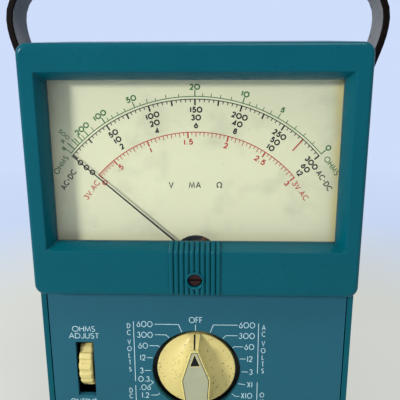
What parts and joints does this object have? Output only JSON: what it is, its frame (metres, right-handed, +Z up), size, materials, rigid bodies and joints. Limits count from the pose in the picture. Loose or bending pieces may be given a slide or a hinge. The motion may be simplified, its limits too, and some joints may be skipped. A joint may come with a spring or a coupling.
{
  "type": "analog multimeter",
  "caption": "Handheld analog multimeter with a moving-coil dial in a proud hood, rotary range knob, ohms-adjust thumbwheel, test jacks and a swinging carry strap.",
  "frame": {"origin": "on the floor under the middle of the whole object, at the bottom of the rubber feet", "axes": "+Z up, the meter's face looks towards -Y, +X to the right when facing the dial"},
  "size_m": [0.1644, 0.081, 0.2247],
  "materials": {
    "teal_shell": "teal moulded plastic, satin",
    "teal_panel": "teal plastic, matte",
    "lens": "clear",
    "dial": "cream, matte",
    "needle": "black",
    "coil": "enamelled copper winding",
    "adjuster": "dark red-black",
    "knob": "yellow-cream",
    "inlay": "greyish cream",
    "strap": "grey-brown, dull",
    "dark_plastic": "black",
    "well": "dark teal",
    "foot": "black",
    "board": "brown laminate",
    "capacitor": "red-brown dipped",
    "cell": "blue jacket",
    "battery": "black jacket",
    "fuse": "glass with metal caps",
    "steel": "plain",
    "iron": "dull",
    "brass": "plain",
    "aluminium": "plain"
  },
  "bodies": {
    "base": {"rear_case": "teal_shell", "front_panel": "teal_panel", "meter_hood": "teal_shell", "meter_lens": "lens", "dial_plate": "dial", "dial_screw_left": "steel", "dial_screw_right": "steel", "chassis_plate": "aluminium", "field_ring": "iron", "core_magnet": "iron", "front_bridge": "brass", "rear_bridge": "brass", "front_jewel_screw": "steel", "rear_jewel_screw": "steel", "front_hairspring": "brass", "rear_hairspring": "brass", "switch_well": "well", "shaft_bushing": "brass", "index_spring": "steel", "front_wafer": "board", "rear_wafer": "board", "switch_tie_left": "steel", "switch_tie_right": "steel", "pot_bracket": "steel", "pot_body": "steel", "circuit_board": "board", "film_capacitor": "capacitor", "fuse": "fuse", "round_cell": "cell", "flat_battery": "battery", "jack_output": "dark_plastic", "jack_common": "dark_plastic", "jack_positive": "dark_plastic", "jack_amps": "dark_plastic", "jack_output_nut": "steel", "jack_common_nut": "steel", "jack_positive_nut": "steel", "jack_amps_nut": "steel", "case_screw_low_left": "steel", "case_screw_low_right": "steel", "case_screw_high_left": "steel", "case_screw_high_right": "steel", "foot_front_left": "foot", "foot_front_right": "foot", "foot_back_left": "foot", "foot_back_right": "foot", "strap_rivet_left": "steel", "strap_rivet_right": "steel"},
    "needle": {"pointer": "needle", "moving_coil": "coil"},
    "zero_adjuster": {"zero_screw": "adjuster"},
    "zero_arm": {"zero_lever": "brass"},
    "selector": {"range_knob": "knob", "knob_cap": "inlay", "selector_shaft": "brass", "index_wheel": "steel"},
    "ohms_adjuster": {"thumbwheel": "knob", "pot_shaft": "brass"},
    "handle": {"carry_strap": "strap"}
  },
  "joints": [
    {"name": "pointer_swing", "type": "hinge", "parent": "base", "child": "needle", "pos_m": [0, -0.0225, 0.1033], "axis": [0, 1, 0], "range_deg": [-3, 100.4], "stiffness_Nm_per_rad": 0.0005},
    {"name": "zero_screw_turn", "type": "hinge", "parent": "base", "child": "zero_adjuster", "pos_m": [0, -0.0355, 0.0973], "axis": [0, 1, 0], "range_deg": [-45, 45]},
    {"name": "zero_lever_turn", "type": "hinge", "parent": "base", "child": "zero_arm", "pos_m": [0, -0.0271, 0.1033], "axis": [0, 1, 0], "range_deg": [-6.1, 6.1]},
    {"name": "selector_turn", "type": "hinge", "parent": "base", "child": "selector", "pos_m": [0, -0.0275, 0.0485], "axis": [0, 1, 0], "continuous": true},
    {"name": "ohms_adjust_turn", "type": "hinge", "parent": "base", "child": "ohms_adjuster", "pos_m": [-0.0516, -0.0197, 0.0485], "axis": [1, 0, 0], "range_deg": [-140, 140]},
    {"name": "handle_swing", "type": "hinge", "parent": "base", "child": "handle", "pos_m": [0, -0.001, 0.1533], "axis": [1, 0, 0], "range_deg": [-130, 133]}
  ],
  "couplings": [
    {"joint": "zero_lever_turn", "follows": "zero_screw_turn", "ratio": 0.1337}
  ]
}
